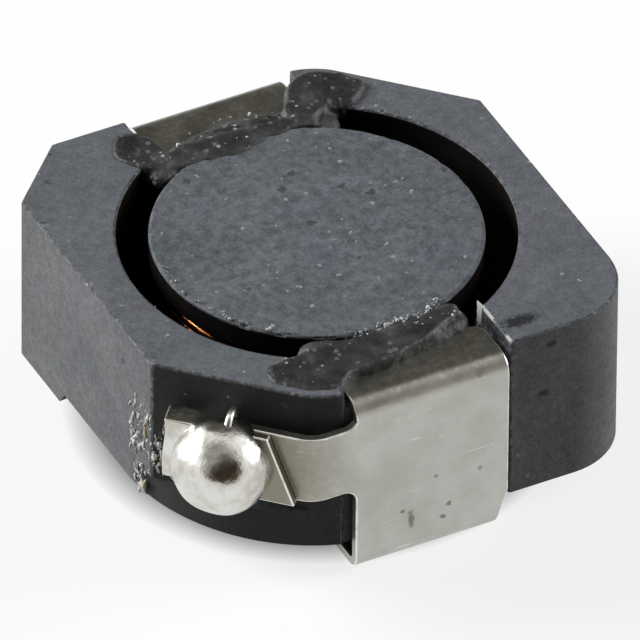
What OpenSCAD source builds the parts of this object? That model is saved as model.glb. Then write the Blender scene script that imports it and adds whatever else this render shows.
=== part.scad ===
// Shielded surface-mount power inductor: a wound ferrite drum that stands in a
// square ferrite ring, with two folded sheet clips as its terminals.
// The origin is on the board plane, under the axis of the bore. Z is up, the
// front terminal faces -Y, and the rear one is the front one turned half round.

/* [Shield core] */
// Width of the ring between its plain sides
core_width = 10.1; // [9.4:0.1:12.2]
// Depth of the ring between its terminal sides
core_depth = 10.1; // [9.4:0.1:12.2]
// Height of the ring from its feet to its top
core_height = 4.03; // [3.3:0.01:5]
// Height of the ring's feet above the board
foot_clearance = 0.55; // [0.35:0.01:0.7]
// Diameter of the bore
bore_d = 8.36; // [7.9:0.02:8.7]
// Leg of the long chamfer at each corner where a lead comes out
lead_chamfer = 2.67; // [2.2:0.01:3.1]
// Leg of the chamfer on the plain corner
plain_chamfer = 1.43; // [0.8:0.01:2]
// Radius of the rounded corner
corner_radius = 1.6; // [0.6:0.05:2]
// Radius where the long chamfer meets the terminal side
shoulder_radius = 1.4; // [0.3:0.05:1.8]
// Radius of the ledge's corner, under each long chamfer
ledge_radius = 3.8; // [3:0.05:4.2]
// Height of the ledge
ledge_height = 0.7; // [0.4:0.05:0.9]
// Rise of the underside towards the plain side, between the feet
foot_rise = 0.32; // [0.1:0.01:0.4]
// Length of a foot along the plain side, from the bore's axis to where it ends
foot_start = 2.1; // [1.6:0.05:2.6]
// Run of the ramp at the end of a foot
foot_ramp = 0.65; // [0.2:0.05:1]

/* [Clip seats] */
// Depth of the seat in the ring's top
seat_depth = 0.43; // [0.3:0.01:0.6]
// Depth of the slot in the ring's side
slot_depth = 0.1; // [0.05:0.01:0.2]
// Clearance on each side of the clip in its seat
seat_clearance = 0.15; // [0.05:0.01:0.3]

/* [Lead windows] */
// Width of the window that a lead passes through
window_width = 0.8; // [0.5:0.05:1.2]
// Height of that window
window_height = 0.75; // [0.55:0.05:0.9]
// Height of the ring's wall between the ledge and the window
window_sill = 0.08; // [0.05:0.01:0.2]

/* [Drum core] */
// Clearance between a flange and the bore, on the radius
flange_gap = 0.68; // [0.45:0.01:0.9]
// Thickness of the top flange
top_flange = 0.55; // [0.4:0.05:0.8]
// Thickness of the bottom flange
bottom_flange = 0.55; // [0.4:0.05:0.8]
// Diameter of the hub between the flanges
hub_d = 3.9; // [3.2:0.1:4.6]
// Height of the bottom flange above the ring's feet
drum_lift = 0.15; // [0.05:0.05:0.3]
// Width of the broken edge round each flange and the mouth of the bore
edge_break = 0.06; // [0.02:0.01:0.12]

/* [Winding] */
// Diameter of the enamelled wire
wire_d = 0.22; // [0.18:0.01:0.26]
// Depth of the outer turns below the edge of the flange
winding_inset = 0.15; // [0.05:0.01:0.5]
// Diameter of the bared end of the wire
lead_d = 0.18; // [0.14:0.01:0.2]
// Radius of the rear lead's bends, where it lies close over its tab
rear_lead_bend = 0.17; // [0.16:0.01:0.2]
// Clearance between that lead and the tab's edge
rear_lead_gap = 0.01; // [0.01:0.01:0.05]

/* [Terminal clips] */
// Distance from the ring's side to the clip's outer face
clip_stand = 0.25; // [0.15:0.01:0.35]
// Thickness of the sheet
sheet = 0.2; // [0.16:0.01:0.22]
// Width of a clip
clip_width = 3.54; // [3:0.02:4]
// Length of the pad under the ring
pad_length = 1.9; // [1.4:0.1:2.4]
// Width trimmed from the pad, on the side away from the arm
pad_trim = 0.24; // [0.05:0.01:0.4]
// Height over which that trim runs out up the plate
trim_rise = 0.9; // [0.4:0.05:1.2]
// Length of the lip on the ring's top
lip_length = 1.35; // [1.2:0.05:1.5]
// Outer radius of the lower bend
lower_bend = 0.3; // [0.25:0.01:0.4]
// Outer radius of the upper bend
upper_bend = 0.4; // [0.25:0.01:0.42]
// Corner radius of the pad and the lip
clip_corner = 0.3; // [0.1:0.05:0.5]
// Radius of the fillets where the arm leaves the clip
arm_fillet = 0.3; // [0.15:0.01:0.35]

/* [Arms and solder] */
// Height of the arm's lower edge above the board
arm_bottom = 2.15; // [2:0.01:2.3]
// Height of the arm's strip
arm_height = 1.63; // [1.4:0.01:1.75]
// Gap between the long chamfer and the arm
arm_gap = 0.25; // [0.22:0.01:0.35]
// Outer radius of the arm's bend
arm_bend = 0.8; // [0.4:0.05:1]
// Length of the arm past the middle of the chamfer
arm_reach = 1.3; // [1.1:0.05:1.6]
// Length of the flap, at half its height, from the middle of the chamfer
flap_reach = 1.14; // [0.9:0.01:1.2]
// Slant of the flap's cut end, in degrees
flap_slant = 20; // [0:1:25]
// Diameter of the front solder ball
solder_d = 2.1; // [1.9:0.02:2.3]
// Diameter of the rear solder ball
rear_solder_d = 1.7; // [1.5:0.02:2.1]
// Distance of the solder ball's centre in front of the flap
solder_reach = 0.1; // [0:0.01:0.3]
// Offset of the solder ball along the chamfer, away from the clip
solder_offset = 0.2; // [0:0.01:0.4]
// Height of the solder ball's centre above the arm's lower edge
solder_rise = 0.65; // [0.4:0.01:0.9]

/* [Adhesive] */
// Height of the adhesive above the ring's top
smear_height = 0.07; // [0.04:0.01:0.12]
// Radius of the ends of an adhesive pour
pour_round = 0.2; // [0.1:0.01:0.25]
// Depth of the adhesive in the gap around the drum
adhesive_depth = 0.4; // [0.3:0.01:0.5]

/* [Hidden] */

$fn = 96;
cut = 1; // how far a cutting shape runs past the face that it cuts
lead_turn = 1.5; // radius of a lead's first bend, in wire diameters

core_top = foot_clearance + core_height;
ledge_top = foot_clearance + foot_rise + ledge_height;

// Distance of the long chamfer from the bore's axis
chamfer_reach = (core_width + core_depth) / sqrt(8) - lead_chamfer / sqrt(2);

bore_r = bore_d / 2;
flange_r = bore_r - flange_gap;
hub_r = hub_d / 2;
drum_bottom = foot_clearance + drum_lift;
coil_bottom = drum_bottom + bottom_flange;
coil_top = core_top - top_flange;
coil_r = flange_r - winding_inset;
turns_per_layer = floor((coil_top - coil_bottom) / wire_d);
turn_pitch = (coil_top - coil_bottom) / turns_per_layer;

seat_width = clip_width + 2 * seat_clearance;
seat_floor = core_top - seat_depth;
clip_height = seat_floor + sheet;
clip_face = core_depth / 2 + clip_stand;

arm_inner = chamfer_reach + arm_gap;
arm_outer = arm_inner + sheet;
flap_outer = arm_outer + sheet;
arm_top = arm_bottom + arm_height;
arm_bend_y = arm_bend - clip_face;
arm_bend_x = -sqrt(2) * (arm_outer - arm_bend) - arm_bend_y;

window_bottom = ledge_top + window_sill;
lead_z = window_bottom + lead_d;
lead_gap_n = chamfer_reach + arm_gap / 2;
lead_front_n = flap_outer + lead_d / 2;
lead_loop_r = (lead_front_n - lead_gap_n) / 2;
rear_lead_crest = arm_top + rear_lead_gap + lead_d / 2 - rear_lead_bend;
lead_corner = lead_turn * lead_d;

solder_z = arm_bottom + solder_rise;
solder_n = flap_outer + solder_reach;
solder_back = arm_outer + sheet / 2;

// The start and the sweep of the adhesive in the gap, from +X round by +Y
front_fill = [241, 47];
rear_fill = [240, 59];

// The columns of each pour, seen from its own side of the ring: x, how far the
// column ends from the drum's rim, and how far from the ring's side
front_pour = [
    [-3, 0.4, 0.6],
    [-2.4, 0.1, 0.25],
    [-1.7, 0.05, 0.1],
    [-0.5, 0.05, 0.3],
    [0.6, 0.05, 0.65],
    [1.4, 0.1, 1.05],
];
rear_pour = [
    [-3.1, 0.3, 0.7],
    [-2.4, -0.1, 0.2],
    [-1.9, -0.45, 0.2],
    [-1.2, -0.25, 0.55],
    [0, -0.45, 0.6],
    [1.5, -0.25, 0.55],
    [2.1, 0.2, 0.3],
    [2.4, 0.1, 0.55],
];

FERRITE = "#4A4B4D";
COPPER = "#B4622D";
TIN = "#B4B5AE";
SOLDER = "#D2D3CF";
ADHESIVE = "#2B2A2C";

// The children and their copy turned half round the bore's axis
module both_sides() {
    children();
    rotate(180)
        children();
}

// Turns x to point out through the front lead corner, and y towards the clip
module at_lead_corner() {
    rotate(225)
        children();
}

// What rounding takes from a corner at the origin, between x and the angle
module corner_waste(radius, angle = 90) {
    tangent = radius / tan(angle / 2);
    difference() {
        polygon([
            [0, 0],
            [tangent, 0],
            [tangent, radius],
            [tangent * cos(angle), tangent * sin(angle)],
        ]);
        translate([tangent, radius])
            circle(radius);
    }
}

// A quarter of a ring, as wide as the sheet, centred on the origin
module quarter_bend(radius) {
    intersection() {
        difference() {
            circle(radius);
            circle(radius - sheet);
        }
        square(radius);
    }
}

// The ring's outline above the ledges
module upper_outline() {
    difference() {
        plain_outline();
        both_sides()
            translate([-core_width / 2, -core_depth / 2]) {
                rotate(45)
                    square(sqrt(2) * lead_chamfer, center = true);
                translate([lead_chamfer, 0])
                    corner_waste(shoulder_radius, 135);
            }
    }
}

// The ring's outline at the ledges
module ledge_outline() {
    difference() {
        plain_outline();
        both_sides()
            translate([-core_width / 2, -core_depth / 2])
                corner_waste(ledge_radius);
    }
}

// The square with its chamfered and its rounded plain corner
module plain_outline() {
    difference() {
        square([core_width, core_depth], center = true);
        translate([-core_width / 2, core_depth / 2])
            rotate(45)
                square(sqrt(2) * plain_chamfer, center = true);
        translate([core_width / 2, -core_depth / 2])
            rotate(90)
                corner_waste(corner_radius);
    }
}

// The wedge of space under the ring, from the clip round to the end of a foot
module foot_relief() {
    rise_slope = 2 * foot_rise / (core_width - seat_width);
    relief_reach = core_depth / 2 + cut;
    intersection() {
        rotate([90, 0, 0])
            linear_extrude(core_depth + 2 * cut, center = true)
                polygon([
                    [-seat_width / 2, foot_clearance],
                    [-seat_width / 2, foot_clearance - cut],
                    [-core_width / 2 - cut, foot_clearance - cut],
                    [-core_width / 2 - cut, foot_clearance + foot_rise + cut * rise_slope],
                ]);
        translate([-core_width / 2 - cut, 0, foot_clearance])
            rotate([90, 0, 90])
                linear_extrude(core_width / 2 + cut)
                    polygon([
                        [foot_start, -cut],
                        [foot_start, 0],
                        [foot_start - foot_ramp, foot_rise],
                        [foot_start - foot_ramp, foot_rise + cut],
                        [-relief_reach, foot_rise + cut],
                        [-relief_reach, -cut],
                    ]);
    }
}

// The seat for a clip: a channel across the ring's top and a slot down its side
module clip_seat() {
    seat_reach = core_depth / 2 + cut;
    translate([-seat_width / 2, -seat_reach, seat_floor])
        cube([seat_width, seat_reach, seat_depth + cut]);
    translate([-seat_width / 2, -seat_reach, 0])
        cube([seat_width, cut + slot_depth, core_top + cut]);
}

// The window that lets a lead out through the long chamfer
module lead_window() {
    at_lead_corner()
        translate([0, -window_width / 2, window_bottom])
            cube([core_width, window_width, window_height]);
}

module shield_core() {
    color(FERRITE)
        difference() {
            union() {
                translate([0, 0, foot_clearance])
                    linear_extrude(ledge_top - foot_clearance)
                        ledge_outline();
                translate([0, 0, ledge_top])
                    linear_extrude(core_top - ledge_top)
                        upper_outline();
            }
            cylinder(h = core_top + cut, r = bore_r);
            translate([0, 0, core_top - edge_break])
                cylinder(h = 2 * edge_break, r1 = bore_r, r2 = bore_r + 2 * edge_break);
            both_sides() {
                foot_relief();
                clip_seat();
                lead_window();
            }
        }
}

module drum_core() {
    color(FERRITE)
        translate([0, 0, drum_bottom])
            rotate_extrude()
                polygon([
                    [0, 0],
                    [flange_r - edge_break, 0],
                    [flange_r, edge_break],
                    [flange_r, bottom_flange],
                    [hub_r, bottom_flange],
                    [hub_r, coil_top - drum_bottom],
                    [flange_r, coil_top - drum_bottom],
                    [flange_r, core_top - drum_bottom - edge_break],
                    [flange_r - edge_break, core_top - drum_bottom],
                    [0, core_top - drum_bottom],
                ]);
}

// The wound layers, whose outer turns stand out as round ridges
module coil() {
    rotate_extrude()
        union() {
            translate([hub_r, coil_bottom])
                square([coil_r - wire_d / 2 - hub_r, coil_top - coil_bottom]);
            for (turn = [0:turns_per_layer - 1])
                translate([coil_r - wire_d / 2, coil_bottom + (turn + 0.5) * turn_pitch])
                    circle(turn_pitch / 2);
        }
}

// A bent stretch of the bare wire, in the plane of x and z, from angle start
module lead_elbow(centre_n, centre_z, radius, start, sweep) {
    translate([centre_n, 0, centre_z])
        rotate([90, 0, 0])
            rotate(start)
                rotate_extrude(angle = sweep)
                    translate([radius, 0])
                        circle(d = lead_d, $fn = 32);
}

// A lead: out through the window, up behind the arm to the height of crest, and
// by two bends over into the solder
module lead(crest, bend_r) {
    lead_start = coil_r - wire_d;
    bend_far_n = lead_front_n - bend_r;
    at_lead_corner() {
        translate([lead_start, 0, lead_z])
            rotate([0, 90, 0])
                cylinder(h = lead_gap_n - lead_corner - lead_start, d = lead_d, $fn = 32);
        lead_elbow(lead_gap_n - lead_corner, lead_z + lead_corner, lead_corner, -90, 90);
        translate([lead_gap_n, 0, lead_z + lead_corner])
            cylinder(h = crest - lead_z - lead_corner, d = lead_d, $fn = 32);
        lead_elbow(lead_gap_n + bend_r, crest, bend_r, 90, 90);
        if (bend_far_n > lead_gap_n + bend_r)
            translate([lead_gap_n + bend_r, 0, crest + bend_r])
                rotate([0, 90, 0])
                    cylinder(h = bend_far_n - lead_gap_n - bend_r, d = lead_d, $fn = 32);
        lead_elbow(bend_far_n, crest, bend_r, 0, 90);
        translate([lead_front_n, 0, solder_z])
            cylinder(h = crest - solder_z, d = lead_d, $fn = 32);
    }
}

// The front lead stands over its tab in a round loop
module front_lead() {
    lead(arm_top, lead_loop_r);
}

// The rear lead lies close over its tab, drawn here as if it were in front
module rear_lead() {
    lead(rear_lead_crest, rear_lead_bend);
}

module winding() {
    color(COPPER) {
        coil();
        front_lead();
        rotate(180)
            rear_lead();
    }
}

// The clip's side view: pad, plate and lip, with x inwards from the outer face
module clip_profile() {
    translate([lower_bend, 0])
        square([pad_length - lower_bend, sheet]);
    translate([lower_bend, lower_bend])
        rotate(180)
            quarter_bend(lower_bend);
    translate([0, lower_bend])
        square([sheet, clip_height - lower_bend - upper_bend]);
    translate([upper_bend, clip_height - upper_bend])
        rotate(90)
            quarter_bend(upper_bend);
    translate([upper_bend, clip_height - sheet])
        square([lip_length - upper_bend, sheet]);
}

// What is cut from the inner corners of the pad and the lip
module clip_corner_cuts(length, z) {
    for (side = [-1, 1])
        translate([side * clip_width / 2, length - clip_face, z - cut])
            linear_extrude(sheet + 2 * cut)
                rotate(side > 0 ? 180 : -90)
                    corner_waste(clip_corner);
}

// What is trimmed from the pad's edge and, running out, from the plate's
module pad_cut() {
    translate([clip_width / 2, 0, 0])
        rotate([90, 0, 0])
            linear_extrude(2 * clip_face, center = true)
                polygon([
                    [-pad_trim, -cut],
                    [-pad_trim, sheet],
                    [0, trim_rise],
                    [cut, trim_rise],
                    [cut, -cut],
                ]);
}

// The arm's plan: straight from the clip, bent along the chamfer, folded back
module arm_plan() {
    translate([arm_bend_x, -clip_face])
        square([-clip_width / 2 - arm_bend_x, sheet]);
    translate([arm_bend_x, arm_bend_y])
        intersection() {
            difference() {
                circle(arm_bend);
                circle(arm_bend - sheet);
            }
            polygon([[0, 0], [0, -2 * arm_bend], [-2 * arm_bend, -2 * arm_bend]]);
        }
    rotate(225) {
        bend_end = (arm_bend_x - arm_bend_y) / sqrt(2);
        translate([arm_inner, sheet - arm_reach])
            square([sheet, bend_end + arm_reach - sheet]);
        translate([arm_outer, sheet - arm_reach])
            intersection() {
                circle(sheet);
                translate([-sheet, -sheet])
                    square([2 * sheet, sheet]);
            }
    }
}

// The flap at the arm's end, folded back flat on it, with a slanted cut
module flap() {
    slant_run = arm_height * tan(flap_slant) / 2;
    at_lead_corner()
        translate([arm_outer, 0, arm_bottom])
            rotate([90, 0, 90])
                linear_extrude(sheet)
                    polygon([
                        [sheet - arm_reach, 0],
                        [flap_reach + slant_run, 0],
                        [flap_reach - slant_run, arm_height],
                        [sheet - arm_reach, arm_height],
                    ]);
}

// The fillets above and below the arm, where it leaves the clip
module arm_fillets() {
    translate([-clip_width / 2, sheet - clip_face, 0])
        rotate([90, 0, 0])
            linear_extrude(sheet) {
                translate([0, arm_top])
                    rotate(90)
                        corner_waste(arm_fillet);
                translate([0, arm_bottom])
                    rotate(180)
                        corner_waste(arm_fillet);
            }
}

module terminal() {
    color(TIN) {
        difference() {
            translate([0, -clip_face, 0])
                rotate([90, 0, 90])
                    linear_extrude(clip_width, center = true)
                        clip_profile();
            pad_cut();
            clip_corner_cuts(pad_length, 0);
            clip_corner_cuts(lip_length, clip_height - sheet);
        }
        translate([0, 0, arm_bottom])
            linear_extrude(arm_height)
                arm_plan();
        flap();
        arm_fillets();
    }
}

// A ball of solder round the end of the arm, less the lead that is its child
module solder(ball_d) {
    color(SOLDER)
        difference() {
            at_lead_corner()
                translate([solder_back, -solder_offset, solder_z])
                    rotate([0, 90, 0])
                        rotate_extrude()
                            intersection() {
                                translate([0, solder_n - solder_back])
                                    circle(d = ball_d);
                                square(2 * ball_d);
                            }
            terminal();
            children();
        }
}

// A pour of adhesive across the front seat, from the drum to the clip's lip
module pour(columns) {
    translate([0, 0, clip_height])
        linear_extrude(core_top + smear_height - clip_height)
            intersection() {
                for (i = [1:len(columns) - 1])
                    hull() {
                        pour_column(columns[i - 1]);
                        pour_column(columns[i]);
                    }
                upper_outline();
            }
}

// The round ends of one column of a pour
module pour_column(column) {
    translate([column[0], -flange_r - column[1] - pour_round])
        circle(pour_round, $fn = 32);
    translate([column[0], column[2] + pour_round - core_depth / 2])
        circle(pour_round, $fn = 32);
}

// Adhesive in the gap round the drum, from angle start
module gap_fill(start, sweep) {
    translate([0, 0, core_top - adhesive_depth])
        rotate(start)
            rotate_extrude(angle = sweep)
                translate([flange_r - sheet, 0])
                    square([flange_gap + 2 * sheet, adhesive_depth]);
}

module front_adhesive() {
    color(ADHESIVE)
        difference() {
            union() {
                gap_fill(front_fill[0], front_fill[1]);
                pour(front_pour);
            }
            shield_core();
            drum_core();
            terminal();
        }
}

module rear_adhesive() {
    color(ADHESIVE)
        difference() {
            rotate(180) {
                gap_fill(rear_fill[0], rear_fill[1]);
                pour(rear_pour);
            }
            shield_core();
            drum_core();
            rotate(180)
                terminal();
        }
}

shield_core();
drum_core();
winding();
terminal();  // front_terminal
rotate(180) terminal();  // rear_terminal
solder(solder_d) front_lead();  // front_solder
rotate(180) solder(rear_solder_d) rear_lead();  // rear_solder
front_adhesive();
rear_adhesive();
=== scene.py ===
import math
import random
import bmesh
import bpy
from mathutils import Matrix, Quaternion, Vector


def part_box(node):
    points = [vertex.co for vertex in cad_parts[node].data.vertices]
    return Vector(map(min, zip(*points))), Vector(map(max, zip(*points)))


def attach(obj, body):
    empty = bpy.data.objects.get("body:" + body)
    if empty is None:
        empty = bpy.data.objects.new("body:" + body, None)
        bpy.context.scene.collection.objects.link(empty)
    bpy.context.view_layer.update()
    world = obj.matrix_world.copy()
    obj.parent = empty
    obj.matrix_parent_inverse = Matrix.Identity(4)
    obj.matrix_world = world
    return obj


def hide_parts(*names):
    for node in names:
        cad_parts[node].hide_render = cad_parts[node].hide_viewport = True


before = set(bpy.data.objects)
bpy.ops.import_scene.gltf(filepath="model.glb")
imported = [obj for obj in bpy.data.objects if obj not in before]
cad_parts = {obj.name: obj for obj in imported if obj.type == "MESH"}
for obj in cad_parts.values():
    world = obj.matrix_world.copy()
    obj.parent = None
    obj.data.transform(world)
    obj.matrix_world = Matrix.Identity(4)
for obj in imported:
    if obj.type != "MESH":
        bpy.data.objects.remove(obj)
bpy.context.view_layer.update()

# ------------------------------------------------
# Shield ring: the square core that closes the magnetic path round the drum.
# It is sintered nickel-zinc ferrite, pressed to shape, fired and ground flat,
# so its edges are sharp, a little worn, and chipped here and there.

MM = 0.001  # pieces are modelled in millimetres, and brought to the frame's metres when done


def node_box(node):
    low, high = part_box(node)
    return low / MM, high / MM


def put_down():
    """Leaves edit mode, with nothing selected."""
    if bpy.context.object and bpy.context.object.mode != "OBJECT":
        bpy.ops.object.mode_set(mode="OBJECT")
    bpy.ops.object.select_all(action="DESELECT")


def only(piece):
    """Leaves one piece selected and active."""
    put_down()
    piece.select_set(True)
    bpy.context.view_layer.objects.active = piece
    return piece


def join(pieces):
    """Joins pieces into the first."""
    only(pieces[0])
    for piece in pieces:
        piece.select_set(True)
    bpy.ops.object.join()
    return bpy.context.object


def choose(kind, test):
    """In edit mode, selects the vertices, edges or faces that pass a test."""
    bpy.ops.mesh.select_mode(type=kind)
    bpy.ops.mesh.select_all(action="DESELECT")
    shape = bmesh.from_edit_mesh(bpy.context.object.data)
    parts = {"VERT": shape.verts, "EDGE": shape.edges, "FACE": shape.faces}[kind]
    for part in parts:
        if test(part):
            part.select_set(True)
    shape.select_flush_mode()
    bmesh.update_edit_mesh(bpy.context.object.data)


def middle(edge):
    return (edge.verts[0].co + edge.verts[1].co) / 2


def upright(edge):
    along = edge.verts[1].co - edge.verts[0].co
    return abs(along.z) > 0.9 * along.length


def near(value, target, slack=0.004):
    return abs(value - target) < slack


def press(piece, kind, **settings):
    """Adds a modifier with its settings and applies it."""
    only(piece)
    modifier = piece.modifiers.new(kind.lower(), kind)
    for name, value in settings.items():
        setattr(modifier, name, value)
    bpy.ops.object.modifier_apply(modifier=modifier.name)


def carve(piece, tool, operation="DIFFERENCE", own_material=False):
    """Cuts a tool's shape from a piece, or joins it on, and removes the tool."""
    mode = "TRANSFER" if own_material else "INDEX"
    press(piece, "BOOLEAN", object=tool, operation=operation, solver="EXACT", material_mode=mode)
    bpy.data.objects.remove(tool)


def box_shape(low, high):
    """A box in millimetres, in edit mode."""
    put_down()
    centre = [(a + b) / 2 for a, b in zip(low, high)]
    bpy.ops.mesh.primitive_cube_add(size=1, location=centre, scale=[b - a for a, b in zip(low, high)])
    bpy.ops.object.transform_apply()
    bpy.ops.object.mode_set(mode="EDIT")
    return bpy.context.object


def clean_up(piece, slack, flatten=True):
    """Merges doubles, joins flat faces where that is wanted, and turns all faces outwards."""
    only(piece)
    bpy.ops.object.mode_set(mode="EDIT")
    bpy.ops.mesh.select_all(action="SELECT")
    bpy.ops.mesh.remove_doubles(threshold=slack)
    if flatten:
        bpy.ops.mesh.dissolve_limited(angle_limit=math.radians(0.4))
    bpy.ops.mesh.normals_make_consistent(inside=False)
    bpy.ops.object.mode_set(mode="OBJECT")


def deliver(piece, name, materials=(), nodes=()):
    """Brings a finished piece to metres, names it, finishes it and fixes it to the part."""
    only(piece)
    piece.scale = (MM, MM, MM)
    bpy.ops.object.transform_apply()
    piece.name = name
    piece.data.name = name
    for material in materials:
        piece.data.materials.append(material)
    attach(piece, "root")
    if nodes:
        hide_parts(*nodes)


RING_LOW, RING_HIGH = node_box("shield_core")
HALF_X, HALF_Y = RING_HIGH.x, RING_HIGH.y
BORE = 4.18  # radius
LEAD_CHAMFER = 2.67  # the two long chamfers, by which the leads leave
SHOULDER = 0.58  # the round where a long chamfer meets a clip's side
PLAIN_CHAMFER = 1.43
ROUND_CORNER = 1.6
# The ring's foot stands out under the long chamfers as a rounded ledge
LEDGE_TOP = RING_LOW.z + 1.02
LEDGE_CORNER = 3.8
# Each clip lies in a seat in the ring's top and in a shallow slot down its side
SEAT_HALF = 1.92
SEAT_FLOOR = RING_HIGH.z - 0.43
SLOT_DEPTH = 0.1
OUTSIDE = 6  # past the ring's sides and top, where cutting tools end


def ring_block(bottom, top, lead_corner, lead_steps):
    """The ring's outline over part of its height."""
    block = box_shape((-HALF_X, -HALF_Y, bottom), (HALF_X, HALF_Y, top))
    choose("EDGE", lambda e: upright(e) and middle(e).x * middle(e).y > 0)
    bpy.ops.mesh.bevel(offset=lead_corner, segments=lead_steps, affect="EDGES")
    choose("EDGE", lambda e: upright(e) and near(middle(e).x, -HALF_X) and near(middle(e).y, HALF_Y))
    bpy.ops.mesh.bevel(offset=PLAIN_CHAMFER, segments=1, affect="EDGES")
    choose("EDGE", lambda e: upright(e) and near(middle(e).x, HALF_X) and near(middle(e).y, -HALF_Y))
    bpy.ops.mesh.bevel(offset=ROUND_CORNER, segments=14, affect="EDGES")
    return block


def at_shoulder(edge):
    """The upright edges where the long chamfers end at the clips' sides."""
    x, y = abs(middle(edge).x), abs(middle(edge).y)
    return upright(edge) and near(x, HALF_X - LEAD_CHAMFER) and near(y, HALF_Y)


# The two blocks overlap by a hair, so that they join as one solid
OVERLAP = 0.01
lower = ring_block(RING_LOW.z, LEDGE_TOP + OVERLAP, LEDGE_CORNER, 24)
ring = ring_block(LEDGE_TOP, RING_HIGH.z, LEAD_CHAMFER, 1)
choose("EDGE", at_shoulder)
bpy.ops.mesh.bevel(offset=SHOULDER, segments=8, affect="EDGES")
carve(ring, lower, "UNION")

put_down()
bpy.ops.mesh.primitive_cylinder_add(vertices=160, radius=BORE, depth=8, location=(0, 0, 3))
carve(ring, bpy.context.object)
INSIDE = 0.5  # well inside the bore
for side in (-1, 1):
    start, end = sorted((side * INSIDE, side * OUTSIDE))
    carve(ring, only(box_shape((-SEAT_HALF, start, SEAT_FLOOR), (SEAT_HALF, end, OUTSIDE))))
    start, end = sorted((side * (HALF_Y - SLOT_DEPTH), side * OUTSIDE))
    carve(ring, only(box_shape((-SEAT_HALF, start, 0), (SEAT_HALF, end, OUTSIDE))))

# The wedge of space under the ring, which rises from the seat to the plain side
FOOT_RISE, FOOT_START, FOOT_RAMP = 0.32, 2.1, 0.65
for turn in (0, math.pi):
    wedge = box_shape((-OUTSIDE, -OUTSIDE, 0), (-SEAT_HALF, FOOT_START, RING_LOW.z))
    rise = FOOT_RISE / (HALF_X - SEAT_HALF)
    choose("VERT", lambda v: v.co.x < -HALF_X and v.co.z > 0.1)
    bpy.ops.transform.translate(value=(0, 0, (OUTSIDE - SEAT_HALF) * rise))
    choose("VERT", lambda v: v.co.x < -HALF_X and v.co.z > 0.1 and v.co.y > 0)
    bpy.ops.transform.translate(value=(0, -FOOT_RAMP, 0))
    only(wedge).rotation_euler.z = turn
    bpy.ops.object.transform_apply()
    carve(ring, wedge)

# The windows by which the leads leave, in the long chamfers
WINDOW_HALF, WINDOW_LOW, WINDOW_HIGH = 0.4, 1.65, 2.4
for turn in (225, 45):
    window = box_shape((4, -WINDOW_HALF, WINDOW_LOW), (8, WINDOW_HALF, WINDOW_HIGH))
    only(window).rotation_euler.z = math.radians(turn)
    bpy.ops.object.transform_apply()
    carve(ring, window)
clean_up(ring, 0.03)

NOISE, RAMP, MIX = "TexNoise", "ValToRGB", "Mix"
MATH, VECTOR = "Math", "VectorMath"
# A mix node either lays one colour over another or multiplies them
OVER = {"data_type": "RGBA"}
TIMES = {"data_type": "RGBA", "blend_type": "MULTIPLY"}


def linear(hex_colour):
    parts = [int(hex_colour[i:i + 2], 16) / 255 for i in (1, 3, 5)]
    return tuple(p / 12.92 if p <= 0.04045 else ((p + 0.055) / 1.055) ** 2.4 for p in parts) + (1.0,)


def add(tree, kind, settings=None, inputs=None, stops=(), give=0):
    """Adds a node with its settings, its inputs set or linked, and a ramp's stops, and gives one output.

    Text stands for an sRGB colour, and a number at a ramp's stop for a grey.
    """
    node = tree.nodes.new("ShaderNode" + kind)
    for name, value in (settings or {}).items():
        setattr(node, name, value)
    for name, value in (inputs or {}).items():
        if isinstance(value, bpy.types.NodeSocket):
            tree.links.new(value, node.inputs[name])
        else:
            node.inputs[name].default_value = linear(value) if isinstance(value, str) else value
    if stops:
        elements = node.color_ramp.elements
        while len(elements) < len(stops):
            elements.new(0.5)
        for element, (position, colour) in zip(elements, stops):
            element.position = position
            element.color = linear(colour) if isinstance(colour, str) else (colour, colour, colour, 1.0)
    return node.outputs[give] if node.outputs else node


def bare_material(name):
    """A material with an empty node tree."""
    material = bpy.data.materials.new(name)
    material.use_nodes = True
    material.node_tree.nodes.clear()
    return material, material.node_tree


def new_material(name, metallic=0.0, ior=1.5):
    """A material with its shader, and the object's coordinates in millimetres."""
    material, tree = bare_material(name)
    surface = add(tree, "BsdfPrincipled", inputs={"Metallic": metallic, "IOR": ior})
    add(tree, "OutputMaterial", inputs={"Surface": surface})
    place = add(tree, "TexCoord", give="Object")
    mm = add(tree, VECTOR, {"operation": "SCALE"}, {0: place, "Scale": 1 / MM})
    return material, tree, surface.node, mm


def coat(tree, shader, tint, rough, height, strength, depth):
    """Gives a shader its colour, its roughness, and a relief of a depth in millimetres."""
    relief = add(tree, "Bump", inputs={"Strength": strength, "Distance": depth * MM, "Height": height})
    tree.links.new(tint, shader.inputs["Base Color"])
    tree.links.new(rough, shader.inputs["Roughness"])
    tree.links.new(relief, shader.inputs["Normal"])


def spots(tree, mm, scale, radius, share):
    """Spots of up to a radius in millimetres, on a share of a pattern's cells: 1 in a spot, 0 outside."""
    away = add(tree, "TexVoronoi", inputs={"Vector": mm, "Scale": scale, "Randomness": 1.0})
    cell = add(tree, "SeparateColor", inputs={"Color": away.node.outputs["Color"]}).node
    chosen = add(tree, MATH, {"operation": "LESS_THAN"}, {0: cell.outputs["Red"], 1: share})
    limit = add(tree, MATH, {"operation": "MULTIPLY"}, {0: cell.outputs["Green"], 1: radius * scale})
    inside = add(tree, MATH, {"operation": "LESS_THAN"}, {0: away, 1: limit})
    return add(tree, MATH, {"operation": "MULTIPLY"}, {0: chosen, 1: inside})


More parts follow.
